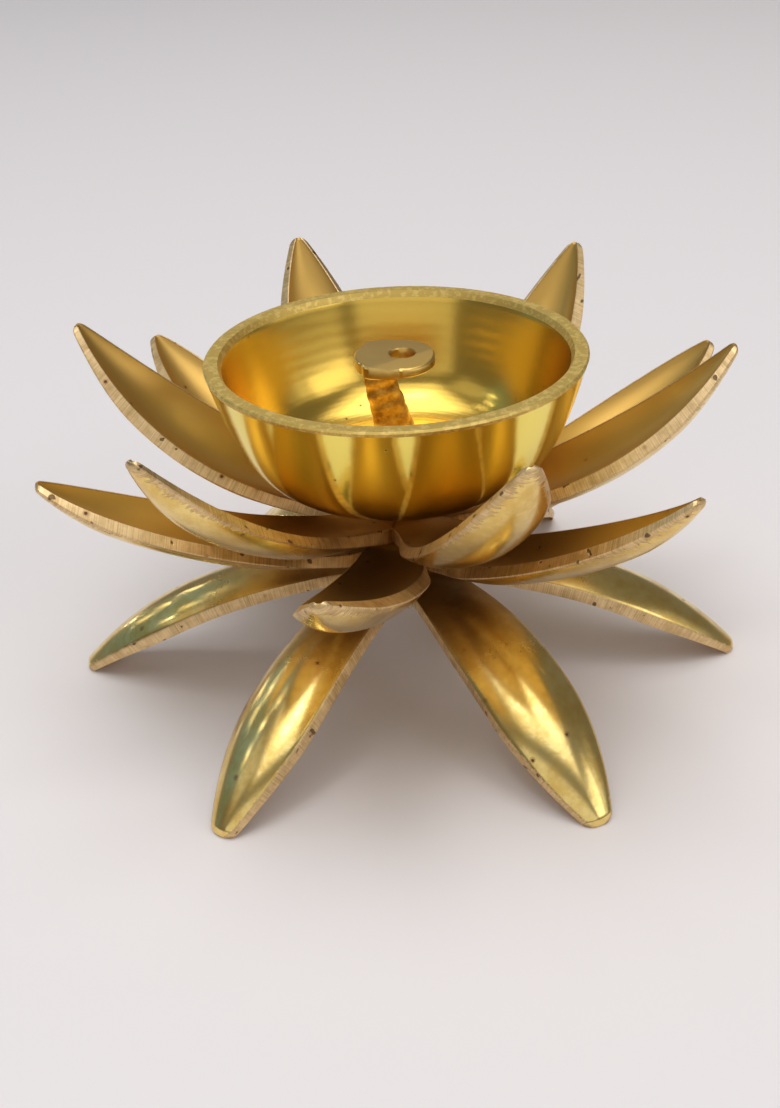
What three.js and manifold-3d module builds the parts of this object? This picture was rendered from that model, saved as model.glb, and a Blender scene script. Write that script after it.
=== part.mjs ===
// Cast-brass lotus oil lamp (diya), in millimetres, +Z up.
// A round oil bowl with a wick holder stands on three stacked rings of six boat-shaped petals.
// The lowest ring is bent down, and its six petal tips are the lamp's feet.
// One threaded stud on the axis draws the whole stack together.
// The origin is on the table, under the stud. The front of the lamp faces -Y.

import * as THREE from 'three';
import * as BufferGeometryUtils from 'three/addons/utils/BufferGeometryUtils.js';
import Module from 'manifold-3d';

const wasm = await Module();
wasm.setup();

// The stack, from the table up
const LEG_HUB_TOP = 28.5;
const HUB_THICKNESS = 3.8;
const HUB_RADIUS = 12.8;
const LOWER_SPACER_HEIGHT = 3.8;
const UPPER_SPACER_HEIGHT = 2.9;
const SPACER_RADIUS = 8;
const BOWL_COLLAR_HEIGHT = 5.4;
const BOWL_COLLAR_RADIUS = 5;
const SEAT_GAP = 0.3;

// Stud, washers and nut of the six-millimetre size
const STUD_RADIUS = 3;
const STUD_CLEARANCE = 0.3;
const STUD_END_CHAMFER = 0.6;
const STUD_BELOW_NUT = 1.2;
const NUT_ACROSS_FLATS = 10;
const NUT_HEIGHT = 5;
const FLAT_WASHER_RADIUS = 9;
const FLAT_WASHER_THICKNESS = 1.2;
const SPRING_WASHER_RADIUS = 5.6;
const SPRING_WASHER_THICKNESS = 1.4;
const SPRING_WASHER_SPLIT = 1.2;

// Oil bowl
const BOWL_RADIUS = 45;
const BOWL_HEIGHT = 33.5;
const BOWL_WALL = 3.7;
const BOWL_SEAT_RADIUS = 8.5;
const BOWL_FLAT_RADIUS = 34.7;
const BOWL_FLARE_INWARD = 7.8;
const BOWL_FLARE_DROP = 27.4;
const RIM_CHAMFER = 0.7;

// Wick holder
const WICK_HEAD_TOP_BELOW_RIM = 0.5;
const WICK_HEAD_THICKNESS = 3;
const WICK_HEAD_RADIUS = 8.7;
const WICK_HEAD_CENTRE_X = 0.4;
const WICK_HEAD_BACK_X = -7.9;
const WICK_HEAD_CORNER = 2.5;
const WICK_HEAD_BEVEL = 0.5;
const WICK_HOLE_RADIUS = 3;
const WICK_HOLE_X = 1.6;
const WICK_FOOT_RADIUS = 7.5;
const WICK_FOOT_NECK_RADIUS = 5.4;
const WICK_FOOT_HEIGHT = 6.5;
const WICK_FOOT_SOCKET_DEPTH = 4.5;
const STEM_DEPTH = 5;
const STEM_TOP_WIDTH = 7.2;
const STEM_BASE_WIDTH = 9.4;
const STEM_TOP_X = -4.3;
const STEM_CORNER = 0.9;
const STEM_INTO_FOOT = 2;
const STEM_BASE_RISE = 3;
const STEM_TOP_BEND = 7;
const WICK_FOOT_RIM_HEIGHT = 1.5;

// Petals. Every form gives the edge line in the plane through the stud, as radius and height above the
// hub's top, and the petal's own measures. The two higher rings have hollow petals. The lowest is the
// same kind of casting laid on its face, so its petals are arched. Sets are how each petal was bent by
// hand, in order round the ring from the lamp's left: degrees round the stud, millimetres up at the
// tip, degrees of roll.
const PETAL_COUNT = 6;
const PETAL_WALL = 3;
const PETAL_TIP_WALL = 1.8;
const PETAL_THINS_FROM = 0.75;
const VALLEY_RADIUS = 12;
const VALLEY_LENGTH = 6;
const ROOT_OVERLAP = 0.05;
const ROOT_WALL_LENGTH = 0.2;
const ROOT_DEPTH_SHARE = 0.01;
const DEPTH_LENGTH = 0.38;
const ROLL_LENGTH = 0.5;
const SWELL_POWER = 1.3;
const OGIVE_POWER = 2.1;
const OGIVE_FULLNESS = 0.9;
const FOOT_LIP_HEIGHT = 0.5;

const UPPER_FORM = {
  rootHandle: [33, 6], tipHandle: [57.4, 16.5], tip: [77.6, 43.7],
  rootHalfWidth: 6.8, halfWidth: 11, widestAt: 0.5, tipHalfWidth: 0.6, depthRatio: 0.42, arched: false,
};
const MIDDLE_FORM = {
  rootHandle: [26.4, -0.2], tipHandle: [69, 19.5], tip: [85.4, 33.3],
  rootHalfWidth: 7.6, halfWidth: 10.4, widestAt: 0.45, tipHalfWidth: 0.6, depthRatio: 0.44, arched: false,
};
const LOWER_FORM = {
  rootHandle: [27.7, -2.5], tipHandle: [51, -1.8], tip: [83.4, FOOT_LIP_HEIGHT - LEG_HUB_TOP],
  rootHalfWidth: 6.8, halfWidth: 10.4, widestAt: 0.68, tipHalfWidth: 2.6, depthRatio: 0.36, arched: true,
};
const UPPER_FIRST_PETAL_DEG = -100.5;
const MIDDLE_FIRST_PETAL_DEG = -71.5;
const LOWER_FIRST_PETAL_DEG = -91;
const UPPER_SETS = [[-1, 0.5, -6], [-3, -2, 3], [-1.2, 1.5, 5.5], [6.5, -3.7, 1.5], [1.5, 0.5, 0], [-0.5, 1, 0]];
const MIDDLE_SETS = [[-1.5, -4, -1], [0.2, -2.8, 8], [-4.5, 4, 1], [2.5, 0.5, 1.5], [0, -2, 0], [0.5, -1, -1.5]];
const LOWER_SETS = [[1, 0, 3], [-0.3, 0, 11], [0, 0, 8], [-2, 0, -3], [0, 0, 0], [0, 0, 0]];

// Fineness of the curved surfaces
const VALLEY_STATIONS = 3;
const PETAL_STATIONS = 11;
const PETAL_ACROSS = 7;
const BOWL_SEGMENTS = 60;
const BOWL_CURVE_STEPS = 11;
const ROUND_SEGMENTS = 28;
const HEAD_ARC_SEGMENTS = 9;

// Heights that follow from the stack
const middleHubTop = LEG_HUB_TOP + SEAT_GAP + LOWER_SPACER_HEIGHT + SEAT_GAP + HUB_THICKNESS;
const upperHubTop = middleHubTop + SEAT_GAP + UPPER_SPACER_HEIGHT + SEAT_GAP + HUB_THICKNESS;
const bowlBottom = upperHubTop + SEAT_GAP + BOWL_COLLAR_HEIGHT + SEAT_GAP;
const bowlFloor = bowlBottom + BOWL_WALL;
const rimTop = bowlBottom + BOWL_HEIGHT;
const wickFootBottom = bowlFloor + SEAT_GAP;
const wickHeadTop = rimTop - WICK_HEAD_TOP_BELOW_RIM;
const flatWasherTop = LEG_HUB_TOP - HUB_THICKNESS - SEAT_GAP;
const springWasherTop = flatWasherTop - FLAT_WASHER_THICKNESS - SEAT_GAP;
const nutTop = springWasherTop - SPRING_WASHER_THICKNESS - SEAT_GAP;
const boreRadius = STUD_RADIUS + STUD_CLEARANCE;

// Geometry helpers

function toSolid(geometry) {
  const bare = geometry.clone();
  bare.deleteAttribute('normal');
  bare.deleteAttribute('uv');
  const merged = BufferGeometryUtils.mergeVertices(bare, 1e-4);
  return new wasm.Manifold(new wasm.Mesh({
    numProp: 3,
    vertProperties: merged.attributes.position.array,
    triVerts: new Uint32Array(merged.index.array),
  }));
}

function toGeometry(solid) {
  const mesh = solid.getMesh();
  const geometry = new THREE.BufferGeometry();
  geometry.setAttribute('position', new THREE.BufferAttribute(new Float32Array(mesh.vertProperties), 3));
  geometry.setIndex(new THREE.BufferAttribute(new Uint32Array(mesh.triVerts), 1));
  geometry.computeVertexNormals();
  return geometry;
}

// A lathe turns about Y, so its result is stood up to turn about Z. Profile points are radius, height.
function turned(profile, segments = ROUND_SEGMENTS) {
  const points = profile.map(([radius, height]) => new THREE.Vector2(radius, height));
  return new THREE.LatheGeometry(points, segments).rotateX(Math.PI / 2);
}

function disc(radius, bottom, top, segments = ROUND_SEGMENTS) {
  return turned([[0, bottom], [radius, bottom], [radius, top], [0, top]], segments);
}

function tube(outer, inner, bottom, top, segments = ROUND_SEGMENTS) {
  return turned([[inner, bottom], [outer, bottom], [outer, top], [inner, top], [inner, bottom]], segments);
}

// Skins a row of closed loops. Each loop is a band: one face's points, then the other face's points
// backwards, so a strip across the band closes each end.
function loftBands(loops) {
  const count = loops[0].length;
  const index = [];
  for (let i = 0; i < loops.length - 1; i++) {
    for (let j = 0; j < count; j++) {
      const a = i * count + j;
      const b = i * count + ((j + 1) % count);
      index.push(a, b + count, b, a, a + count, b + count);
    }
  }
  const last = (loops.length - 1) * count;
  for (let j = 0; j < count / 2 - 1; j++) {
    const k = count - 1 - j;
    index.push(j, k - 1, k, j, j + 1, k - 1);
    index.push(last + j, last + k, last + k - 1, last + j, last + k - 1, last + j + 1);
  }
  const geometry = new THREE.BufferGeometry().setFromPoints(loops.flat());
  geometry.setIndex(index);
  return geometry;
}

// Petal rings

function smoothStep(x) {
  const s = THREE.MathUtils.clamp(x, 0, 1);
  return s * s * (3 - 2 * s);
}

// Half the distance between the edges: it swells from the root, then closes in an ogive to the tip.
function petalHalfWidth(form, u) {
  if (u < form.widestAt) {
    const swell = Math.sin(Math.PI / 2 * u / form.widestAt) ** SWELL_POWER;
    return THREE.MathUtils.lerp(form.rootHalfWidth, form.halfWidth, swell);
  }
  const t = (u - form.widestAt) / (1 - form.widestAt);
  const fullness = (1 - t ** OGIVE_POWER) ** OGIVE_FULLNESS;
  return THREE.MathUtils.lerp(form.tipHalfWidth, form.halfWidth, fullness);
}

// Depth of the hollow, or rise of the arch: next to none at the hub, then a fixed share of the half width.
function petalDepth(form, u) {
  const share = THREE.MathUtils.lerp(ROOT_DEPTH_SHARE, 1, smoothStep(u / DEPTH_LENGTH));
  return form.depthRatio * share * petalHalfWidth(form, u);
}

// The casting is as thick as the hub at the root, of even wall to the shoulder, and thins to the tip.
function petalWall(u) {
  const root = THREE.MathUtils.lerp(HUB_THICKNESS, PETAL_WALL, smoothStep(u / ROOT_WALL_LENGTH));
  const thinning = smoothStep((u - PETAL_THINS_FROM) / (1 - PETAL_THINS_FROM));
  return root - (PETAL_WALL - PETAL_TIP_WALL) * thinning;
}

// The edge line runs from the hub to the tip; lift raises its outer half.
function petalEdgeLine(form, lift) {
  return new THREE.CubicBezierCurve(
    new THREE.Vector2(VALLEY_RADIUS, 0),
    new THREE.Vector2(...form.rootHandle),
    new THREE.Vector2(form.tipHandle[0], form.tipHandle[1] + lift / 2),
    new THREE.Vector2(form.tip[0], form.tip[1] + lift),
  );
}

// Where sections are taken: close together round the valley between two petals, then evenly to the tip.
// Each has its place on the edge line and how far it has left the sector it grows from.
function petalStations(edgeLine) {
  const stations = [];
  const halvings = 30;
  for (let i = 0; i <= VALLEY_STATIONS; i++) {
    const turn = Math.PI / 2 * i / VALLEY_STATIONS;
    const radius = VALLEY_RADIUS + VALLEY_LENGTH * (1 - Math.cos(turn));
    let low = 0;
    let high = 1;
    for (let step = 0; step < halvings; step++) {
      const u = (low + high) / 2;
      if (edgeLine.getPoint(u).x < radius) low = u;
      else high = u;
    }
    stations.push({ u: (low + high) / 2, freed: Math.sin(turn) });
  }
  const last = stations.at(-1).u;
  for (let i = 1; i <= PETAL_STATIONS; i++) {
    stations.push({ u: THREE.MathUtils.lerp(last, 1, i / PETAL_STATIONS), freed: 1 });
  }
  return stations;
}

// One petal along +X, hub top at height 0. Every section is a band of wall square to the edge line. A
// hollow petal's band lies round a circular arc. An arched one's runs over the arc, with upright edges.
// At the root a section is as wide as its sixth of the ring, so that neighbours join in a round valley.
function petal(form, [, lift, roll]) {
  const edgeLine = petalEdgeLine(form, lift);
  const loops = [];
  for (const { u, freed } of petalStations(edgeLine)) {
    const edge = edgeLine.getPoint(u);
    const along = edgeLine.getTangent(u);
    const sector = edge.x * Math.tan(Math.PI / PETAL_COUNT) + ROOT_OVERLAP;
    const half = THREE.MathUtils.lerp(sector, petalHalfWidth(form, u), freed);
    const depth = petalDepth(form, u);
    const arcRadius = (half * half + depth * depth) / (2 * depth);
    const reach = Math.asin(Math.min(1, half / arcRadius));
    const rolled = Math.sin(Math.PI / 2 * Math.min(1, u / ROLL_LENGTH));
    const twist = THREE.MathUtils.degToRad(roll) * rolled;
    const pointAt = (through, angle) => {
      const radius = form.arched ? arcRadius : arcRadius + through;
      const hollow = arcRadius - depth - radius * Math.cos(angle);
      const up = form.arched ? -hollow - through : hollow;
      const side = radius * Math.sin(angle);
      const rolledSide = side * Math.cos(twist) - up * Math.sin(twist);
      const rolledUp = side * Math.sin(twist) + up * Math.cos(twist);
      return new THREE.Vector3(edge.x - along.y * rolledUp, rolledSide, edge.y + along.x * rolledUp);
    };
    const angles = [];
    for (let j = 0; j < PETAL_ACROSS; j++) angles.push(reach * (2 * j / (PETAL_ACROSS - 1) - 1));
    const upper = angles.map((angle) => pointAt(0, angle));
    const under = angles.map((angle) => pointAt(petalWall(u), angle));
    loops.push([...upper, ...under.reverse()]);
  }
  return loftBands(loops);
}

// One casting: six petals round a flat hub that is bored for the stud.
function petalRing(form, hubTop, firstDeg, sets) {
  let ring = toSolid(disc(HUB_RADIUS, -HUB_THICKNESS, 0));
  for (let k = 0; k < PETAL_COUNT; k++) {
    const azimuth = firstDeg + k * 360 / PETAL_COUNT + sets[k][0];
    const turn = THREE.MathUtils.degToRad(azimuth - 90);
    ring = ring.add(toSolid(petal(form, sets[k]).rotateZ(turn)));
  }
  const bore = disc(boreRadius, -2 * HUB_THICKNESS, HUB_THICKNESS);
  const hole = toSolid(bore);
  return ring.subtract(hole).translate([0, 0, hubTop]);
}

// The tips of the lowest ring are ground flat, all in the plane of the table.
function groundFlat(ring) {
  const reach = 2 * (LOWER_FORM.tip[0] + PETAL_WALL);
  const below = new THREE.BoxGeometry(reach, reach, LEG_HUB_TOP).translate(0, 0, -LEG_HUB_TOP / 2);
  return ring.subtract(toSolid(below));
}

// Oil bowl: a turned wall of even thickness round one curve, flat under the floor, bored for the stud.
function bowl() {
  const outside = new THREE.CubicBezierCurve(
    new THREE.Vector2(0, bowlBottom),
    new THREE.Vector2(BOWL_FLAT_RADIUS, bowlBottom),
    new THREE.Vector2(BOWL_RADIUS - BOWL_FLARE_INWARD, rimTop - BOWL_FLARE_DROP),
    new THREE.Vector2(BOWL_RADIUS, rimTop),
  );
  const profile = [[boreRadius, bowlBottom], [BOWL_SEAT_RADIUS, bowlBottom]];
  const firstStep = 2;
  for (let i = firstStep; i < BOWL_CURVE_STEPS; i++) {
    const point = outside.getPoint(i / BOWL_CURVE_STEPS);
    profile.push([point.x, point.y]);
  }
  profile.push([BOWL_RADIUS - RIM_CHAMFER / 3, rimTop - RIM_CHAMFER]);
  profile.push([BOWL_RADIUS - RIM_CHAMFER, rimTop]);
  profile.push([BOWL_RADIUS - BOWL_WALL, rimTop]);
  for (let i = BOWL_CURVE_STEPS - 1; i >= firstStep; i--) {
    const u = i / BOWL_CURVE_STEPS;
    const point = outside.getPoint(u);
    const along = outside.getTangent(u);
    profile.push([point.x - along.y * BOWL_WALL, point.y + along.x * BOWL_WALL]);
  }
  profile.push([BOWL_SEAT_RADIUS, bowlFloor]);
  profile.push([boreRadius, bowlFloor]);
  profile.push([boreRadius, bowlBottom]);
  return turned(profile, BOWL_SEGMENTS);
}

// Wick holder: a conical foot screwed on the stud, a bar that leans off the axis, and a flat head
// bent back over it, with the wick hole near the lamp's axis.
function wickHolder() {
  const footTop = wickFootBottom + WICK_FOOT_HEIGHT;
  const foot = turned([
    [0, wickFootBottom], [WICK_FOOT_RADIUS, wickFootBottom],
    [WICK_FOOT_RADIUS, wickFootBottom + WICK_FOOT_RIM_HEIGHT],
    [WICK_FOOT_NECK_RADIUS, footTop], [0, footTop],
  ]);
  const headBottom = wickHeadTop - WICK_HEAD_THICKNESS;
  const lean = new THREE.CubicBezierCurve3(
    new THREE.Vector3(0, 0, footTop - STEM_INTO_FOOT),
    new THREE.Vector3(0, 0, footTop + STEM_BASE_RISE),
    new THREE.Vector3(STEM_TOP_X, 0, headBottom - STEM_TOP_BEND),
    new THREE.Vector3(STEM_TOP_X, 0, headBottom + WICK_HEAD_THICKNESS / 2),
  );
  const steps = 10;
  const bars = [];
  for (let i = 0; i <= steps; i++) {
    const u = i / steps;
    const centre = lean.getPoint(u);
    const along = lean.getTangent(u);
    const halfWidth = THREE.MathUtils.lerp(STEM_BASE_WIDTH, STEM_TOP_WIDTH, smoothStep(u)) / 2;
    const halfDepth = STEM_DEPTH / 2;
    const corners = [
      [-halfWidth, halfDepth - STEM_CORNER], [-halfWidth + STEM_CORNER, halfDepth],
      [halfWidth - STEM_CORNER, halfDepth], [halfWidth, halfDepth - STEM_CORNER],
      [halfWidth, -halfDepth + STEM_CORNER], [halfWidth - STEM_CORNER, -halfDepth],
      [-halfWidth + STEM_CORNER, -halfDepth], [-halfWidth, -halfDepth + STEM_CORNER],
    ];
    bars.push(corners.map(([side, out]) => new THREE.Vector3(
      centre.x + along.z * side, out, centre.z - along.x * side,
    )));
  }
  const plan = new THREE.Shape();
  const back = WICK_HEAD_BACK_X + WICK_HEAD_BEVEL;
  const radius = WICK_HEAD_RADIUS - WICK_HEAD_BEVEL;
  plan.moveTo(back, -radius + WICK_HEAD_CORNER);
  plan.absarc(back + WICK_HEAD_CORNER, -radius + WICK_HEAD_CORNER, WICK_HEAD_CORNER, Math.PI, 1.5 * Math.PI);
  plan.absarc(WICK_HEAD_CENTRE_X, 0, radius, -Math.PI / 2, Math.PI / 2);
  plan.absarc(back + WICK_HEAD_CORNER, radius - WICK_HEAD_CORNER, WICK_HEAD_CORNER, Math.PI / 2, Math.PI);
  const head = new THREE.ExtrudeGeometry(plan, {
    depth: WICK_HEAD_THICKNESS - 2 * WICK_HEAD_BEVEL,
    bevelThickness: WICK_HEAD_BEVEL,
    bevelSize: WICK_HEAD_BEVEL,
    bevelSegments: 1,
    curveSegments: HEAD_ARC_SEGMENTS,
  }).translate(0, 0, headBottom + WICK_HEAD_BEVEL);
  const hole = disc(WICK_HOLE_RADIUS, headBottom - 1, wickHeadTop + 1).translate(WICK_HOLE_X, 0, 0);
  const socket = disc(boreRadius, wickFootBottom - 1, wickFootBottom + WICK_FOOT_SOCKET_DEPTH);
  return toSolid(foot).add(toSolid(loftBands(bars))).add(toSolid(head))
    .subtract(toSolid(hole)).subtract(toSolid(socket));
}

// Stack hardware

function stud() {
  const top = wickFootBottom + WICK_FOOT_SOCKET_DEPTH - SEAT_GAP;
  const bottom = nutTop - NUT_HEIGHT - STUD_BELOW_NUT;
  const narrow = STUD_RADIUS - STUD_END_CHAMFER;
  return turned([
    [0, bottom], [narrow, bottom], [STUD_RADIUS, bottom + STUD_END_CHAMFER],
    [STUD_RADIUS, top - STUD_END_CHAMFER], [narrow, top], [0, top],
  ]);
}

function nut() {
  const cornerRadius = NUT_ACROSS_FLATS / Math.sqrt(3);
  const hexagon = new THREE.CylinderGeometry(cornerRadius, cornerRadius, NUT_HEIGHT, 6);
  const prism = toSolid(hexagon.rotateX(Math.PI / 2).translate(0, 0, nutTop - NUT_HEIGHT / 2));
  return prism.subtract(toSolid(disc(boreRadius, nutTop - NUT_HEIGHT - 1, nutTop + 1)));
}

function springWasher() {
  const bottom = springWasherTop - SPRING_WASHER_THICKNESS;
  const ring = toSolid(tube(SPRING_WASHER_RADIUS, boreRadius, bottom, springWasherTop));
  const slot = new THREE.BoxGeometry(SPRING_WASHER_RADIUS, SPRING_WASHER_SPLIT, 2 * SPRING_WASHER_THICKNESS)
    .translate(boreRadius - 1 + SPRING_WASHER_RADIUS / 2, 0, bottom + SPRING_WASHER_THICKNESS / 2);
  return ring.subtract(toSolid(slot));
}

// Scene graph

const polishedBrass = { color: 0xcf9a2e, roughness: 0.24, metalness: 1 };
const castBrass = { color: 0xc1913a, roughness: 0.42, metalness: 1 };
const platedSteel = { color: 0xb8b4a8, roughness: 0.38, metalness: 1 };

function named(name, geometry, finish) {
  const mesh = new THREE.Mesh(geometry, new THREE.MeshStandardMaterial(finish));
  mesh.name = name;
  return mesh;
}

const lowerRing = groundFlat(petalRing(LOWER_FORM, LEG_HUB_TOP, LOWER_FIRST_PETAL_DEG, LOWER_SETS));
const middleRing = petalRing(MIDDLE_FORM, middleHubTop, MIDDLE_FIRST_PETAL_DEG, MIDDLE_SETS);
const upperRing = petalRing(UPPER_FORM, upperHubTop, UPPER_FIRST_PETAL_DEG, UPPER_SETS);

const lowerSpacerBottom = LEG_HUB_TOP + SEAT_GAP;
const upperSpacerBottom = middleHubTop + SEAT_GAP;
const collarBottom = upperHubTop + SEAT_GAP;

const lamp = new THREE.Group();
lamp.name = 'lotus_lamp';
lamp.add(
  named('bowl', bowl(), polishedBrass),
  named('wick_holder', toGeometry(wickHolder()), castBrass),
  named('upper_petal_ring', toGeometry(upperRing), polishedBrass),
  named('middle_petal_ring', toGeometry(middleRing), polishedBrass),
  named('lower_petal_ring', toGeometry(lowerRing), polishedBrass),
  named('bowl_collar',
    tube(BOWL_COLLAR_RADIUS, boreRadius, collarBottom, collarBottom + BOWL_COLLAR_HEIGHT), castBrass),
  named('upper_spacer',
    tube(SPACER_RADIUS, boreRadius, upperSpacerBottom, upperSpacerBottom + UPPER_SPACER_HEIGHT), castBrass),
  named('lower_spacer',
    tube(SPACER_RADIUS, boreRadius, lowerSpacerBottom, lowerSpacerBottom + LOWER_SPACER_HEIGHT), castBrass),
  named('centre_stud', stud(), platedSteel),
  named('flat_washer',
    tube(FLAT_WASHER_RADIUS, boreRadius, flatWasherTop - FLAT_WASHER_THICKNESS, flatWasherTop), platedSteel),
  named('spring_washer', toGeometry(springWasher()), platedSteel),
  named('hex_nut', toGeometry(nut()), platedSteel),
);

export default lamp;
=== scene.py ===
"""Looks of a cast-brass lotus oil lamp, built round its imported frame.
Sizes are in millimetres and become metres when a mesh is made, but the table's and the lamps' are in metres.
The front is -Y."""
import math

import bmesh
import bpy
import numpy as np
from mathutils import Matrix, Vector


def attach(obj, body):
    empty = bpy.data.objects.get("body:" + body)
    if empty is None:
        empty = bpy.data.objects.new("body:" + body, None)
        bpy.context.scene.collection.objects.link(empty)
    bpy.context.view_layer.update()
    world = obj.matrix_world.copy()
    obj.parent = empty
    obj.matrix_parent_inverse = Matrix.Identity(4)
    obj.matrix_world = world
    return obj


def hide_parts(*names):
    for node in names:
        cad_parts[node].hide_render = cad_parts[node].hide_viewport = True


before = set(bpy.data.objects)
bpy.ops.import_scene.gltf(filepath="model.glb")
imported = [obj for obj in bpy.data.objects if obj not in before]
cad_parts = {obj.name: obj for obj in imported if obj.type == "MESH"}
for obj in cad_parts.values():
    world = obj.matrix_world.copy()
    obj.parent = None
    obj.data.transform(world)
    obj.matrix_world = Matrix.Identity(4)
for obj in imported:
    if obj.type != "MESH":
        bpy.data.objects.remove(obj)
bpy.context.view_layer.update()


# The camera stands in front of the lamp and looks down at it, turned a little clockwise on its line of
# sight. Its place, angles and focal length were fitted to the photo.
CAMERA_AT = (0.0, -327.96, 214.88)
CAMERA_YAW = math.radians(-0.631)
CAMERA_PITCH = math.radians(29.507)
CAMERA_ROLL = math.radians(-2.8)
FOCAL_PIXELS = 1503.2
PHOTO_HEIGHT_PIXELS = 1108
SENSOR_LONG_SIDE = 36
NEAREST_SEEN = 0.01

look = np.array([math.sin(CAMERA_YAW) * math.cos(CAMERA_PITCH),
                 math.cos(CAMERA_YAW) * math.cos(CAMERA_PITCH), -math.sin(CAMERA_PITCH)])
level = np.cross(look, (0, 0, 1))
level /= np.linalg.norm(level)
upright = np.cross(level, look)
right = math.cos(CAMERA_ROLL) * level + math.sin(CAMERA_ROLL) * upright
up = math.cos(CAMERA_ROLL) * upright - math.sin(CAMERA_ROLL) * level
camera_data = bpy.data.cameras.new("camera")
camera_data.sensor_width = SENSOR_LONG_SIDE
camera_data.lens = SENSOR_LONG_SIDE * FOCAL_PIXELS / PHOTO_HEIGHT_PIXELS
camera_data.clip_start = NEAREST_SEEN
camera = bpy.data.objects.new("camera", camera_data)
pose = np.eye(4)
pose[:3] = np.column_stack([right, up, -look, np.array(CAMERA_AT) / 1000])
camera.matrix_world = Matrix(pose.tolist())
bpy.context.scene.collection.objects.link(camera)
bpy.context.scene.camera = camera


# The lowest ring: six petals and a flat hub, cast in one piece of brass and bent down as legs, their tips
# ground flat. The rounded sides are up and polished, the hollow ones dull, the edges rough from the file.
# The whole stack stands on it.
PETALS = 6
STUD_RADIUS = 3.0
STUD_CLEARANCE = 0.3
BORE_RADIUS = STUD_RADIUS + STUD_CLEARANCE
LEG_HUB_TOP = 28.5
HUB_THICKNESS = 3.8
FOOT_LIP_HEIGHT = 0.5
VALLEY_RADIUS = 12.0
VALLEY_LENGTH = 6.0
PETAL_WALL = 3.0
TIP_WALL = 1.8
EDGE_BREAK = 0.22
SWING_LENGTH = 20.0

# Shares of the curve from the valley's start to the tip.
ROOT_WALL_LENGTH = 0.2
DEPTH_LENGTH = 0.38
ROLL_LENGTH = 0.5
THINS_FROM = 0.75
CLOSE_ROWS_FROM = 0.975
ROUNDS_FROM = 0.985

# The outline swells to its widest place by a power of a sine, and closes to the tip as an ogive. The very
# tip is rounded down to a share of its width.
SWELL_POWER = 1.3
OGIVE_POWER = 2.1
OGIVE_FULLNESS = 0.9
TIP_SHARE = 0.25

# Rows and points of a petal's mesh. The last rows crowd towards the tip, the last one just short of it, and
# a flat row keeps the least arc, in radians, so that its radius is finite.
HUB_ROWS = 5
VALLEY_ROWS = 12
BODY_ROWS = 69
TIP_ROWS = 13
TIP_CROWDING = 1.6
LAST_ROW = 0.985
POINTS_ACROSS = 25
CURVE_SAMPLES = 400
LEAST_ARC = 1e-4
RING_WELD = 5e-6

# The kinds of face that a finish tells apart.
HOLLOW = 0
EDGE = 1
ROUNDED = 2

# A form has the two handles and the tip of the lip line as radius and height over the hub's top, the half
# widths at the root, the widest place and the tip, the hollow's depth as a share of the half width, and how
# far the file's work spills over the edge. A petal's own set is its swing in degrees, its tip's lift and its
# roll in degrees.
LEG_FORM = dict(root_handle=(27.7, -2.5), tip_handle=(51, -1.8), tip=(83.4, FOOT_LIP_HEIGHT - LEG_HUB_TOP),
                root_half=6.8, half=10.4, widest=0.68, tip_half=2.6, depth=0.36, arched=True, filed=0.35)
LEG_SETS = [(1, 0, 3), (-0.3, 0, 11), (0, 0, 8), (-2, 0, -3), (0, 0, 0), (0, 0, 0)]
LEG_FIRST = -91

HOLLOW_DARK = (0.54, 0.325, 0.085, 1)
HOLLOW_LIGHT = (0.74, 0.475, 0.13, 1)
POLISHED_DARK = (0.78, 0.53, 0.15, 1)
POLISHED_LIGHT = (0.93, 0.71, 0.27, 1)
# Painted shade: brown on the petals' roots by the hub, where the rings and bowl above shade them.
ROOT_PAINTED_SHADE = (0.36, 0.19, 0.07, 1)
# Painted shade: a thin dark line along the filed edges, where the edge shades the rounded side.
EDGE_LINE_PAINTED_SHADE = (0.26, 0.12, 0.04, 1)
GROUND_DARK = (0.54, 0.36, 0.16, 1)
GROUND_LIGHT = (0.88, 0.65, 0.35, 1)
HOLE_STAIN = (0.34, 0.12, 0.04, 1)
# Painted shade: near black inside the casting holes and pits, which are only bumps.
HOLE_PAINTED_SHADE = (0.08, 0.04, 0.02, 1)

# Ways from the bore: where the painted shade of the root starts and is full, and the same for the file's
# spill.
ROOT_SHADE_FROM = 60.0
ROOT_SHADE_FULL = 26.0
SPILL_FROM = 42.0
SPILL_FULL = 84.0


def smooth_step(x):
    """0 below 0, 1 above 1, and 3 x^2 - 2 x^3 between."""
    x = np.clip(x, 0, 1)
    return x * x * (3 - 2 * x)


def cubic(knots, u):
    """The cubic curve of four knots at the shares u: the knots weighted by Bernstein's polynomials."""
    u = u[:, None]
    return ((1 - u) ** 3 * knots[0] + 3 * u * (1 - u) ** 2 * knots[1]
            + 3 * u * u * (1 - u) * knots[2] + u ** 3 * knots[3])


def cubic_direction(knots, u):
    """Unit directions of that curve, from its first derivative."""
    u = u[:, None]
    slope = (3 * (1 - u) ** 2 * (knots[1] - knots[0]) + 6 * u * (1 - u) * (knots[2] - knots[1])
             + 3 * u * u * (knots[3] - knots[2]))
    return slope / np.linalg.norm(slope, axis=1)[:, None]


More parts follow.
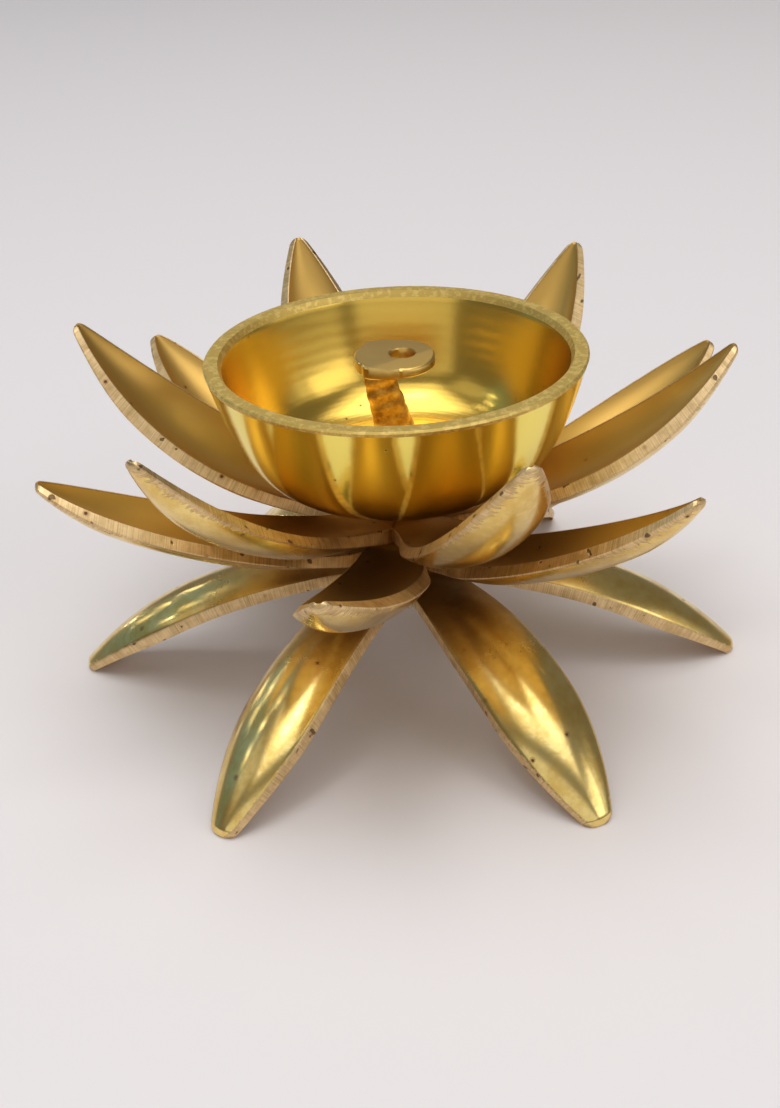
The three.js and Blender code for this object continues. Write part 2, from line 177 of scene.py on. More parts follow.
def lip_line(form, lift):
    """The line that a petal's lips follow, a level run over the hub and then a cubic curve in radius and
    height, as rows from the bore to the tip. Each row has its share of the curve, its place, its direction,
    and how far it has gone over from the hub's shape to the petal's, by a quarter ellipse in the valley."""
    knots = np.array([(VALLEY_RADIUS, 0), form["root_handle"],
                      (form["tip_handle"][0], form["tip_handle"][1] + lift / 2),
                      (form["tip"][0], form["tip"][1] + lift)], float)
    samples = np.linspace(0, 1, CURVE_SAMPLES)
    turn = np.linspace(0, math.pi / 2, VALLEY_ROWS + 1)[1:]
    valley_radius = VALLEY_RADIUS + VALLEY_LENGTH * (1 - np.cos(turn))
    valley_u = np.interp(valley_radius, cubic(knots, samples)[:, 0], samples)
    body_u = np.linspace(valley_u[-1], CLOSE_ROWS_FROM, BODY_ROWS + 1)[1:]
    to_tip = 1 - np.linspace(0, LAST_ROW, TIP_ROWS + 1)[1:]
    tip_u = 1 - (1 - CLOSE_ROWS_FROM) * to_tip ** TIP_CROWDING
    u = np.concatenate([np.zeros(HUB_ROWS), valley_u, body_u, tip_u])
    place = cubic(knots, u)
    place[:HUB_ROWS, 0] = np.linspace(BORE_RADIUS, VALLEY_RADIUS, HUB_ROWS)
    direction = cubic_direction(knots, u)
    direction[:HUB_ROWS] = (1, 0)
    over = np.concatenate([np.zeros(HUB_ROWS), np.sin(turn), np.ones(BODY_ROWS + TIP_ROWS)])
    return u, place, direction, over


def half_width(form, u):
    """Half the petal's width. It swells from the root to the widest place by a power of a quarter sine, then
    closes as an ogive: one less a power of the way to the tip, itself raised to a power."""
    swell = np.sin(np.pi / 2 * np.clip(u / form["widest"], 0, 1)) ** SWELL_POWER
    closing = np.clip((u - form["widest"]) / (1 - form["widest"]), 0, 1)
    ogive = (1 - closing ** OGIVE_POWER) ** OGIVE_FULLNESS
    return np.where(u < form["widest"], form["root_half"] + (form["half"] - form["root_half"]) * swell,
                    form["tip_half"] + (form["half"] - form["tip_half"]) * ogive)


def petal_sector(form, swing, lift, roll):
    """One sixth of a ring, its petal along +X and the hub's top at height 0, as rows of closed loops. A row
    is a band of wall round a circular arc, square to the lip line, as wide as the sector over the hub. A
    hollow petal's arc hangs from the line, with its wall measured along the arc's radii. An arched one's
    stands on the line, with its wall measured straight down from it. At the tip, width, depth and wall close
    as a quarter circle. Roll turns a row about the line, and swing turns it round the stud. Returns each
    point, and its way from the bore, from the middle and from the edge."""
    u, place, direction, over = lip_line(form, lift)
    half = half_width(form, u)
    rounding = np.sqrt(1 - np.clip((u - ROUNDS_FROM) / (1 - ROUNDS_FROM), 0, 1) ** 2)
    width = place[:, 0] * math.tan(math.pi / PETALS) * (1 - over) + half * over
    width = width * (TIP_SHARE + (1 - TIP_SHARE) * rounding)
    depth = form["depth"] * half * smooth_step(u / DEPTH_LENGTH) * rounding
    wall = PETAL_WALL + (TIP_WALL - PETAL_WALL) * smooth_step((u - THINS_FROM) / (1 - THINS_FROM))
    wall += (HUB_THICKNESS - PETAL_WALL) * (1 - smooth_step(u / ROOT_WALL_LENGTH))
    reach = np.maximum(2 * np.arctan2(depth, width), LEAST_ARC)
    radius = (width / np.sin(reach))[:, None]

    inner = np.linspace(-1, 1, POINTS_ACROSS) * (1 - over * EDGE_BREAK / np.maximum(width, 1))[:, None]
    lip = (over * EDGE_BREAK / wall)[:, None]
    end = np.ones((len(u), 1))
    span = np.hstack([-end, inner, end, end, inner[:, ::-1], -end])
    share = np.hstack([lip, np.zeros_like(inner), lip, 1 - lip, np.ones_like(inner), 1 - lip])
    inset = wall * (1 - rounding) / 2
    through = inset[:, None] + (wall - 2 * inset)[:, None] * share
    angle = reach[:, None] * span
    if form["arched"]:
        side = radius * np.sin(angle)
        rise = radius * (np.cos(angle) - np.cos(reach)[:, None]) - through
    else:
        side = (radius + through) * np.sin(angle)
        rise = radius * np.cos(reach)[:, None] - (radius + through) * np.cos(angle)

    twist = (math.radians(roll) * np.sin(np.pi / 2 * np.clip(u / ROLL_LENGTH, 0, 1)))[:, None]
    side, rise = side * np.cos(twist) - rise * np.sin(twist), side * np.sin(twist) + rise * np.cos(twist)
    out = place[:, :1] - direction[:, 1:] * rise
    height = place[:, 1:] + direction[:, :1] * rise
    bend = (math.radians(swing) * smooth_step((place[:, 0] - VALLEY_RADIUS) / SWING_LENGTH))[:, None]
    points = np.stack([out * np.cos(bend) - side * np.sin(bend),
                       out * np.sin(bend) + side * np.cos(bend), height], axis=-1)
    run = np.concatenate([[0], np.cumsum(np.linalg.norm(np.diff(place, axis=0), axis=1))])
    across = width[:, None] * span
    return points, np.broadcast_to(run[:, None], side.shape), across, width[:, None] - abs(across)


def grid_quads(rows, columns, closed=False):
    """Quads of a grid of points whose columns close on themselves, and its rows too if closed."""
    i, j = np.meshgrid(np.arange(rows if closed else rows - 1), np.arange(columns), indexing="ij")
    k = (i + 1) % rows
    m = (j + 1) % columns
    return np.stack([i * columns + j, k * columns + j, k * columns + m, i * columns + m], -1).reshape(-1, 4)


def sector_faces(rows, columns):
    """Faces of a sector's loops, first side hollow: the bands between rows, open over the hub where two
    sectors meet, and a strip of quads across each end."""
    quads = grid_quads(rows, columns)
    row, column = np.divmod(np.arange(len(quads)), columns)
    middle = columns // 2
    rim = np.isin(column, (middle - 1, columns - 1))
    broken_edge = np.isin(column, (0, middle - 2, middle, columns - 2))
    over_hub = row < HUB_ROWS - 1
    kind = np.where(column < middle - 1, HOLLOW, ROUNDED)
    kind[rim | (broken_edge & ~over_hub)] = EDGE
    keep = ~(rim & over_hub)
    a = np.arange(middle - 1)
    b = columns - 1 - a
    bore = np.stack([a, a + 1, b - 1, b], -1)
    tip = (rows - 1) * columns + np.stack([a, b, b - 1, a + 1], -1)
    kinds = np.concatenate([kind[keep], np.full(len(bore), ROUNDED), np.full(len(tip), EDGE)])
    return np.concatenate([quads[keep], bore, tip]), kinds


def make_piece(name, points, faces, attributes=(), sharp=32, weld=1e-6):
    """A mesh object from points in millimetres and faces by index, with its doubles merged, no loose point
    and smooth shading up to a sharp angle in degrees. An attribute is a name, a domain and its values."""
    mesh = bpy.data.meshes.new(name)
    mesh.from_pydata((np.asarray(points).reshape(-1, 3) / 1000).tolist(), [],
                     faces.tolist() if isinstance(faces, np.ndarray) else faces)
    for key, domain, values in attributes:
        data = mesh.attributes.new(key, "FLOAT", domain).data
        data.foreach_set("value", np.asarray(values, np.float32).ravel())
    shell = bmesh.new()
    shell.from_mesh(mesh)
    bmesh.ops.remove_doubles(shell, verts=shell.verts, dist=weld)
    bmesh.ops.delete(shell, geom=[v for v in shell.verts if not v.link_faces], context="VERTS")
    shell.to_mesh(mesh)
    shell.free()
    mesh.polygons.foreach_set("use_smooth", np.ones(len(mesh.polygons), bool))
    mesh.set_sharp_from_angle(angle=math.radians(sharp))
    piece = bpy.data.objects.new(name, mesh)
    bpy.context.scene.collection.objects.link(piece)
    return piece


def petal_ring(name, form, hub_top, first, sets):
    """Sectors set round the stud and welded where they meet, the first one's middle at so many degrees from
    the front, anticlockwise seen from above. Nothing reaches below the table."""
    sectors = []
    for number, (swing, lift, roll) in enumerate(sets):
        points, run, across, margin = petal_sector(form, swing, lift, roll)
        azimuth = math.radians(first + number * 360 / PETALS - 90)
        c = math.cos(azimuth)
        s = math.sin(azimuth)
        points = points @ np.array([[c, s, 0], [-s, c, 0], [0, 0, 1]]) + (0, 0, hub_top)
        points[..., 2] = np.maximum(points[..., 2], 0)
        faces, kind = sector_faces(*run.shape)
        if form["arched"]:
            kind = ROUNDED - kind
        sectors.append((points.reshape(-1, 3), faces + number * run.size, kind,
                        run.ravel(), across.ravel(), margin.ravel()))
    points, faces, kind, run, across, margin = (np.concatenate(part) for part in zip(*sectors))
    attributes = [("kind", "FACE", kind), ("run", "POINT", run), ("across", "POINT", across),
                  ("margin", "POINT", margin), ("filed", "POINT", np.full(len(run), form["filed"]))]
    return make_piece(name, points, faces, attributes, weld=RING_WELD)


def feed(tree, slot, value):
    """Links a Value to a socket, or sets a plain number, colour or vector on it."""
    if isinstance(value, Value):
        tree.links.new(value.socket, slot)
    else:
        slot.default_value = value


class Value:
    """A shader number. Arithmetic on it adds Math nodes."""

    def __init__(self, tree, socket):
        self.tree = tree
        self.socket = socket

    def join(self, operation, *parts):
        node = self.tree.nodes.new("ShaderNodeMath")
        node.operation = operation
        for slot, part in zip(node.inputs, parts):
            feed(self.tree, slot, part)
        return Value(self.tree, node.outputs[0])

    def __add__(self, other):
        return self.join("ADD", self, other)

    def __radd__(self, other):
        return self.join("ADD", other, self)

    def __sub__(self, other):
        return self.join("SUBTRACT", self, other)

    def __rsub__(self, other):
        return self.join("SUBTRACT", other, self)

    def __mul__(self, other):
        return self.join("MULTIPLY", self, other)

    def __rmul__(self, other):
        return self.join("MULTIPLY", other, self)

    def most(self, other):
        return self.join("MAXIMUM", self, other)

    def over(self, threshold):
        return self.join("GREATER_THAN", self, threshold)


class Nodes:
    """A node tree, and the one way to add any node but a Math node to it."""

    def __init__(self, tree):
        self.tree = tree

    def add(self, kind, settings, output, **inputs):
        """Settings are the node's own, or a ramp's stops. An input goes by its name, or by i and a number."""
        node = self.tree.nodes.new("ShaderNode" + kind)
        for key, value in settings.items():
            if key == "stops":
                self.fill_ramp(node.color_ramp.elements, value)
            else:
                setattr(node, key, value)
        for key, value in inputs.items():
            numbered = key[0] == "i" and key[1:].isdigit()
            slot = node.inputs[int(key[1:]) if numbered else key.replace("_", " ")]
            feed(self.tree, slot, value)
        return Value(self.tree, node.outputs[output])

    def fill_ramp(self, elements, stops):
        while len(elements) < len(stops):
            elements.new(0.5)
        for element, (position, colour) in zip(elements, stops):
            element.position = position
            element.color = colour


class Finish(Nodes):
    """A material with one Principled shader, and the patterns that feed it."""

    def __init__(self, name, **surface):
        self.material = bpy.data.materials.new(name)
        self.material.use_nodes = True
        super().__init__(self.material.node_tree)
        self.wear(**surface)

    def wear(self, **surface):
        """Sets or feeds the shader's sockets, named in lower case."""
        shader = self.tree.nodes["Principled BSDF"]
        for key, value in surface.items():
            feed(self.tree, shader.inputs[key.replace("_", " ").title()], value)

    def place(self):
        return self.add("TexCoord", {}, "Object")

    def attribute(self, name):
        return self.add("Attribute", {"attribute_name": name}, "Fac")

    def noise(self, scale, detail, roughness, where=None):
        """Noise of so many waves to the metre."""
        return self.add("TexNoise", {}, 0, Vector=where or self.place(), Scale=scale, Detail=detail,
                        Roughness=roughness)

    def streaks(self, run, across):
        """Noise over two numbers, drawn out along the one that is scaled down more."""
        where = self.add("CombineXYZ", {}, 0, X=run, Y=across)
        return self.add("TexNoise", {"noise_dimensions": "2D"}, 0, Vector=where, Scale=1.0, Detail=3.0,
                        Roughness=0.7)

    def scattered(self, scale):
        """Distance from the nearest of many scattered spots, in shares of their spacing."""
        return self.add("TexVoronoi", {}, "Distance", Vector=self.place(), Scale=scale)

    def step(self, value, start, full):
        """0 at the start and 1 at the full value, smooth between, whichever of the two is higher."""
        return self.add("MapRange", {"interpolation_type": "SMOOTHSTEP"}, "Result", Value=value,
                        i1=start, i2=full)

    def mix(self, share, first, second):
        return self.add("Mix", {"data_type": "RGBA"}, 2, i0=share, i6=first, i7=second)

    def bump(self, height, distance):
        return self.add("Bump", {}, 0, Height=height, Distance=distance, Strength=1.0)


def petal_finish():
    """Brass, dull in the hollow and worn bright on the rounded side, with brown painted shade towards the
    hub, where the rings and bowl above shade the roots. The ground edges have the file's marks across them
    and spill over the rounded side near the tip, a thin line of painted shade runs along them, and there are
    casting holes and pits on the ground edges, painted near black as painted shade."""
    finish = Finish("petal_brass", metallic=1.0)
    kind = finish.attribute("kind")
    run = finish.attribute("run")
    across = finish.attribute("across")
    margin = finish.attribute("margin")
    rounded_side = kind.over(EDGE + 0.5)

    # The file was drawn across the edge: its marks are close together along the edge and long across it.
    marks = finish.streaks(run * 3.0, across * 0.22)
    teeth = finish.streaks(run * 1.3, across * 0.3)
    spill = finish.step(run, SPILL_FROM, SPILL_FULL) * (teeth * 5.0 - 1.3) * finish.attribute("filed")
    filed = kind.over(EDGE - 0.5) * (1 - rounded_side)
    filed = filed + rounded_side * finish.step(spill - margin, -0.15, 0.15)
    rounded = rounded_side * (1 - filed)

    cloud = finish.noise(18, 3, 0.55)
    worn = finish.step(finish.noise(120, 5, 0.7), 0.36, 0.64)
    grain = finish.noise(260, 4, 0.65)
    fine = finish.noise(900, 3, 0.6)
    # Painted shade towards the hub, where the rings and bowl above shade the roots, with a ragged edge.
    root = finish.step(run + cloud * 12.0, ROOT_SHADE_FROM, ROOT_SHADE_FULL)
    # Painted shade: a thin dark line just inside the edge, frayed by the file's teeth.
    edge_line_shade = finish.step(margin + teeth * 0.5, 0.85, 0.35) * (1 - filed)
    pit = finish.step(finish.noise(420, 1, 0.4), 0.31, 0.26) * filed
    spots = finish.scattered(125.0)
    hole = finish.step(spots, 0.055, 0.035)

    dull = finish.mix(cloud, HOLLOW_DARK, HOLLOW_LIGHT)
    polished = finish.mix(worn, POLISHED_DARK, POLISHED_LIGHT)
    ground = finish.mix(finish.step(marks * 0.5 + grain * 0.5, 0.34, 0.66), GROUND_DARK, GROUND_LIGHT)
    colour = finish.mix(rounded, dull, polished)
    # The roots' brown painted shade, stronger on the rounded side.
    colour = finish.mix(root * (rounded * 0.35 + 0.35), colour, ROOT_PAINTED_SHADE)
    # The thin line of painted shade along the edges.
    colour = finish.mix(edge_line_shade * 0.6, colour, EDGE_LINE_PAINTED_SHADE)
    colour = finish.mix(filed, colour, ground)
    colour = finish.mix(finish.step(spots, 0.12, 0.05) * 0.5, colour, HOLE_STAIN)
    # The holes and pits are painted near black as painted shade.
    colour = finish.mix((pit * 0.8).most(hole * 0.85), colour, HOLE_PAINTED_SHADE)
    rough = 0.40 + cloud * 0.08 - rounded * 0.20 + (root * 0.22 - worn * 0.06) * rounded + edge_line_shade * 0.1
    height = fine * 0.1 + grain * 0.1 - hole * 0.8 + filed * (marks * 0.35 + grain * 0.3 - pit * 0.9)
    finish.wear(base_color=colour, roughness=rough, normal=finish.bump(height, 0.00012))
    return finish.material


petal_brass = petal_finish()
legs = petal_ring("legs_cast", LEG_FORM, LEG_HUB_TOP, LEG_FIRST, LEG_SETS)
legs.data.materials.append(petal_brass)
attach(legs, "legs")
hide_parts("lower_petal_ring")


# The middle ring: the same kind of brass casting, with its petals bent gently up and their hollow sides up.
# It sits on a turned spacer on the lowest ring's hub.
SEAT_GAP = 0.3
LOWER_SPACER_HEIGHT = 3.8
MIDDLE_HUB_TOP = LEG_HUB_TOP + SEAT_GAP + LOWER_SPACER_HEIGHT + SEAT_GAP + HUB_THICKNESS
MIDDLE_FORM = dict(root_handle=(26.4, -0.2), tip_handle=(69, 19.5), tip=(85.4, 33.3),
                   root_half=7.6, half=10.4, widest=0.45, tip_half=0.6, depth=0.44, arched=False, filed=1.0)
MIDDLE_SETS = [(-1.5, -4, -1), (0.2, -2.8, 8), (-4.5, 4, 1), (2.5, 0.5, 1.5), (0, -2, 0), (0.5, -1, -1.5)]
MIDDLE_FIRST = -71.5

middle = petal_ring("middle_petals_cast", MIDDLE_FORM, MIDDLE_HUB_TOP, MIDDLE_FIRST, MIDDLE_SETS)
middle.data.materials.append(petal_brass)
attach(middle, "middle_petals")
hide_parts("middle_petal_ring")


# The upper ring: a third such brass casting, with its petals bent steeply up close round the bowl and turned
# about half a pitch from the middle ones. It sits on the upper turned spacer.
UPPER_SPACER_HEIGHT = 2.9
UPPER_HUB_TOP = MIDDLE_HUB_TOP + SEAT_GAP + UPPER_SPACER_HEIGHT + SEAT_GAP + HUB_THICKNESS
UPPER_FORM = dict(root_handle=(33, 6), tip_handle=(57.4, 16.5), tip=(77.6, 43.7),
                  root_half=6.8, half=11, widest=0.5, tip_half=0.6, depth=0.42, arched=False, filed=1.0)
UPPER_SETS = [(-1, 0.5, -6), (-3, -2, 3), (-1.2, 1.5, 5.5), (6.5, -3.7, 1.5), (1.5, 0.5, 0), (-0.5, 1, 0)]
UPPER_FIRST = -100.5

upper = petal_ring("upper_petals_cast", UPPER_FORM, UPPER_HUB_TOP, UPPER_FIRST, UPPER_SETS)
upper.data.materials.append(petal_brass)
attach(upper, "upper_petals")
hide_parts("upper_petal_ring")


# The oil bowl: cast brass, turned smooth inside and out and polished, its rim cut flat and left rough and
# speckled. It stands on the collar and is held by the wick holder's foot.
COLLAR_HEIGHT = 5.4
BOWL_BOTTOM = UPPER_HUB_TOP + SEAT_GAP + COLLAR_HEIGHT + SEAT_GAP
BOWL_HEIGHT = 33.5
BOWL_RADIUS = 45.0
BOWL_WALL = 3.7
BOWL_FLAT_RADIUS = 34.7
BOWL_FLARE_INWARD = 7.8
BOWL_FLARE_DROP = 27.4
BOWL_SEAT_RADIUS = 8.5
RIM_BREAK = 0.5
RIM_DRAFT = 0.1
BOWL_CURVE_POINTS = 64
BOWL_SEGMENTS = 256

BOWL_INSIDE_DARK = (0.76, 0.49, 0.08, 1)
BOWL_INSIDE_LIGHT = (0.86, 0.60, 0.13, 1)
# Painted light: the outside is painted paler and brighter than the inside of the same polished brass.
BOWL_OUTSIDE_PAINTED_LIGHT = (0.98, 0.80, 0.18, 1)
# Darker orange towards the bottom of the outside.
LOW_ORANGE = (0.72, 0.36, 0.06, 1)
SCAR_BROWN = (0.30, 0.11, 0.02, 1)
RIM_DARK = (0.74, 0.53, 0.15, 1)
RIM_LIGHT = (0.90, 0.68, 0.23, 1)
# Painted shade: near black inside the casting holes, which are only bumps.
BOWL_HOLE_PAINTED_SHADE = (0.10, 0.05, 0.02, 1)

# The heights over the table where the outside turns orange are in metres, and the turning lines so many to
# the metre.
ORANGE_FROM = 0.071
ORANGE_FULL = 0.058
TURNING_LINES = 320.0


def around(radius, turn, height):
    """Points at a radius, a bearing and a height, whose arrays are stretched to each other."""
    return np.stack(np.broadcast_arrays(radius * np.cos(turn), radius * np.sin(turn), height), -1)


def turned(profile, segments):
    """A closed profile of radius and height carried round the stud, as points and quads."""
    profile = np.asarray(profile, float)
    turn = np.linspace(0, 2 * math.pi, segments, endpoint=False)[:, None]
    points = around(profile[:, 0], turn, profile[:, 1])
    return points.reshape(-1, 3), grid_quads(segments, len(profile), closed=True)


def bowl_profile():
    """The bowl's section and the kind of each of its sides. The outside is a cubic curve from the axis to the
    rim, the inside is the same curve moved by the wall along its normal, and the seat and rim are flat."""
    knots = np.array([(0, 0), (BOWL_FLAT_RADIUS, 0),
                      (BOWL_RADIUS - BOWL_FLARE_INWARD, BOWL_HEIGHT - BOWL_FLARE_DROP),
                      (BOWL_RADIUS, BOWL_HEIGHT)])
    u = np.linspace(0, 1, BOWL_CURVE_POINTS)
    outside = cubic(knots, u)
    direction = cubic_direction(knots, u)
    inside = outside + BOWL_WALL * np.stack([-direction[:, 1], direction[:, 0]], 1)
    outside = outside[outside[:, 0] > BOWL_SEAT_RADIUS][:-1]
    inside = inside[(inside[:, 0] > BOWL_SEAT_RADIUS) & (inside[:, 1] < BOWL_HEIGHT - RIM_BREAK)]
    seat = [(BORE_RADIUS, 0), (BOWL_SEAT_RADIUS, 0)]
    rim = [(BOWL_RADIUS - RIM_DRAFT, BOWL_HEIGHT - RIM_BREAK), (BOWL_RADIUS - RIM_BREAK, BOWL_HEIGHT),
           (BOWL_RADIUS - BOWL_WALL / 2, BOWL_HEIGHT),
           (BOWL_RADIUS - BOWL_WALL + RIM_BREAK / 2, BOWL_HEIGHT)]
    floor = [(BOWL_SEAT_RADIUS, BOWL_WALL), (BORE_RADIUS, BOWL_WALL)]
    profile = np.concatenate([seat, outside, rim, inside[::-1], floor])
    rim_start = len(seat) + len(outside)
    kind = np.full(len(profile), HOLLOW)
    kind[:rim_start] = ROUNDED
    kind[rim_start - 1:rim_start + len(rim)] = EDGE
    return profile, kind


def bowl_finish():
    """Polished brass, painted paler and brighter on the outside than inside as painted light, with faint
    turning lines in patches of the inside, a darker orange and dark scars low on the outside, a rough
    speckled rim and small casting holes painted near black as painted shade."""
    finish = Finish("bowl_brass", metallic=1.0)
    kind = finish.attribute("kind")
    outer = kind.over(EDGE + 0.5)
    rim = kind.over(EDGE - 0.5) * (1 - outer)
    cloud = finish.noise(22, 3, 0.55)
    grain = finish.noise(600, 3, 0.6)
    speck = finish.step(finish.noise(700, 2, 0.6), 0.46, 0.62)
    height_above_table = finish.add("SeparateXYZ", {}, "Z", Vector=finish.place())
    # Darker orange towards the bottom of the outside, with a ragged top.
    lower_orange = outer * finish.step(height_above_table + finish.noise(60, 4, 0.6) * 0.016, ORANGE_FROM, ORANGE_FULL)
    scar = lower_orange * finish.step(finish.noise(380, 5, 0.75), 0.58, 0.64)
    hole = finish.step(finish.scattered(140.0), 0.055, 0.035)
    lines = finish.add("TexWave", {"wave_type": "RINGS", "rings_direction": "Z"}, "Fac",
                       Vector=finish.place(), Scale=TURNING_LINES, Distortion=1.2, Detail=2.0,
                       Detail_Scale=0.4)
    patches = finish.step(finish.noise(26, 2, 0.5), 0.48, 0.6)

    # The outside's brighter colour is painted light.
    colour = finish.mix(outer, finish.mix(cloud, BOWL_INSIDE_DARK, BOWL_INSIDE_LIGHT), BOWL_OUTSIDE_PAINTED_LIGHT)
    colour = finish.mix(lower_orange * 0.7, colour, LOW_ORANGE)
    colour = finish.mix(scar * 0.7, colour, SCAR_BROWN)
    colour = finish.mix(rim, colour, finish.mix(speck, RIM_DARK, RIM_LIGHT))
    # The holes are painted near black as painted shade.
    colour = finish.mix(hole * 0.85, colour, BOWL_HOLE_PAINTED_SHADE)
    rough = 0.19 + cloud * 0.05 - outer * 0.07 + rim * 0.3 + lower_orange * 0.06
    turning = lines * (1 - outer) * (0.05 + patches * 0.08)
    height = grain * 0.12 + turning + rim * grain * 0.3 - (hole + scar * 0.4) * 0.6
    finish.wear(base_color=colour, roughness=rough, normal=finish.bump(height, 0.0001))
    return finish.material


profile, kind = bowl_profile()
points, quads = turned(profile + (0, BOWL_BOTTOM), BOWL_SEGMENTS)
bowl = make_piece("bowl_turned", points, quads, [("kind", "FACE", np.tile(kind, BOWL_SEGMENTS))])
bowl.data.materials.append(bowl_finish())
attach(bowl, "cup")
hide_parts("bowl")


# The wick holder: one brass casting, with a conical foot screwed on the stud, a rough bar leaning off the
# axis, and a flat head bent back over it with the wick hole. Only the head is dressed smooth.
FOOT_BOTTOM = BOWL_BOTTOM + BOWL_WALL + SEAT_GAP
FOOT_HEIGHT = 6.5
FOOT_TOP = FOOT_BOTTOM + FOOT_HEIGHT
FOOT_RADIUS = 7.5
FOOT_BREAK = 0.4
FOOT_RIM_HEIGHT = 1.3
CONE_INSET = 0.3
CONE_FROM_HEIGHT = 1.8
CONE_TO_HEIGHT = 4.6
NECK_RADIUS = 5.4
NECK_FLARE = 0.5
NECK_BREAK = 0.6
NECK_BREAK_HEIGHT = 6.0
SOCKET_DEPTH = 4.5
SOCKET_CROWN = 1.0
CROWN_RISE = 0.01
ROUND_SEGMENTS = 96
HEAD_BELOW_RIM = 0.5
HEAD_TOP = BOWL_BOTTOM + BOWL_HEIGHT - HEAD_BELOW_RIM
HEAD_THICKNESS = 3.0
HEAD_BOTTOM = HEAD_TOP - HEAD_THICKNESS
HEAD_RADIUS = 8.7
HEAD_CENTRE_X = 0.4
HEAD_BACK_X = -7.9
HEAD_CORNER = 2.5
HEAD_BEVEL = 0.4
HEAD_SEGMENTS = 144
HEAD_TOP_SHARES = np.linspace(0.05, 1, 10)
HEAD_UNDER_SHARES = np.linspace(1, 0, 4)
FRONT_ARC_POINTS = 60
CORNER_ARC_POINTS = 10
HOLE_RADIUS = 3.0
HOLE_X = 1.6
HOLE_BREAK = 0.35
STEM_DEPTH = 5.0
STEM_BASE_WIDTH = 9.4
STEM_TOP_WIDTH = 7.2
STEM_TOP_X = -4.3
STEM_INTO_FOOT = 2.0
STEM_INTO_HEAD = 1.5
STEM_BASE_RISE = 3.0
STEM_TOP_BEND = 7.0
STEM_SQUARENESS = 0.4
STEM_ROWS = 60
STEM_SEGMENTS = 48
RIPPLE_SIZE = 0.22
RIPPLE_PITCH = 3.5
RIPPLE_SEED = 4

# The worn facet at the head's front right: which way it faces, how far out it starts, how steeply it falls.
FACET_FACING = (0.55, -0.83)
FACET_FROM = 3.4
FACET_FALL = 0.13
FACET_POWER = 1.2

CAST_DARK = (0.30, 0.13, 0.02, 1)
CAST_ORANGE = (0.66, 0.36, 0.07, 1)
CAST_LIGHT = (0.90, 0.64, 0.22, 1)
DRESSED_DARK = (0.64, 0.40, 0.10, 1)
DRESSED_LIGHT = (0.82, 0.56, 0.18, 1)


def ripple(points, size, pitch, seed):
    """Uneven cast surface: a third of a sum of six sine waves of one pitch, with seeded directions and
    phases."""
    total = 0
    for *direction, phase in np.random.default_rng(seed).normal(size=(6, 4)):
        along = points @ (direction / np.linalg.norm(direction))
        total = total + np.sin(along * 2 * math.pi / pitch + 3 * phase)
    return size / 3 * total


def stem_loops():
    """The leaning bar: rounded rectangles, each a power of a circle's sine and cosine, square to a cubic
    curve from inside the foot to inside the head, pushed in and out by the ripple."""
    t = np.linspace(0, 1, STEM_ROWS)
    line = cubic(np.array([(0, FOOT_TOP - STEM_INTO_FOOT), (0, FOOT_TOP + STEM_BASE_RISE),
                           (STEM_TOP_X, HEAD_BOTTOM - STEM_TOP_BEND),
                           (STEM_TOP_X, HEAD_BOTTOM + STEM_INTO_HEAD)]), t)
    go = np.gradient(line, axis=0)
    go /= np.linalg.norm(go, axis=1)[:, None]
    half = (STEM_BASE_WIDTH + (STEM_TOP_WIDTH - STEM_BASE_WIDTH) * smooth_step(t))[:, None] / 2
    turn = np.linspace(0, 2 * math.pi, STEM_SEGMENTS, endpoint=False)[None, :]
    side = half * np.sign(np.cos(turn)) * np.abs(np.cos(turn)) ** STEM_SQUARENESS
    out = STEM_DEPTH / 2 * np.sign(np.sin(turn)) * np.abs(np.sin(turn)) ** STEM_SQUARENESS
    points = np.stack([line[:, :1] + go[:, 1:] * side, np.broadcast_to(out, side.shape),
                       line[:, 1:] - go[:, :1] * side], -1)
    swell = ripple(points.reshape(-1, 3), RIPPLE_SIZE, RIPPLE_PITCH, RIPPLE_SEED).reshape(side.shape)
    points[..., 1] += swell * np.sin(turn)
    points[..., 0] += swell * np.cos(turn)
    return points


def capped_tube(rows, columns):
    """Faces of a tube of closed loops, with one flat face at each end."""
    sides = grid_quads(rows, columns)[:, [0, 3, 2, 1]].tolist()
    return sides + [list(range(columns))[::-1], list(range((rows - 1) * columns, rows * columns))]


def tongue_reach(turn):
    """How far the head's edge lies from the wick hole's middle at each bearing. The outline is a half circle
    in front and a straight back with two round corners."""
    arc = np.linspace(-math.pi / 2, math.pi / 2, FRONT_ARC_POINTS)
    outline = [np.stack([HEAD_CENTRE_X + HEAD_RADIUS * np.cos(arc), HEAD_RADIUS * np.sin(arc)], 1)]
    for sign, start in ((1, math.pi / 2), (-1, math.pi)):
        corner = np.linspace(start, start + math.pi / 2, CORNER_ARC_POINTS)
        outline.append(np.stack([HEAD_BACK_X + HEAD_CORNER + HEAD_CORNER * np.cos(corner),
                                 sign * (HEAD_RADIUS - HEAD_CORNER) + HEAD_CORNER * np.sin(corner)], 1))
    outline = np.concatenate(outline + [outline[0][:1]])
    bearing = np.unwrap(np.arctan2(outline[:, 1], outline[:, 0] - HOLE_X))
    distance = np.hypot(outline[:, 0] - HOLE_X, outline[:, 1])
    return np.interp(turn, np.concatenate([bearing, bearing + 2 * math.pi]), np.tile(distance, 2))


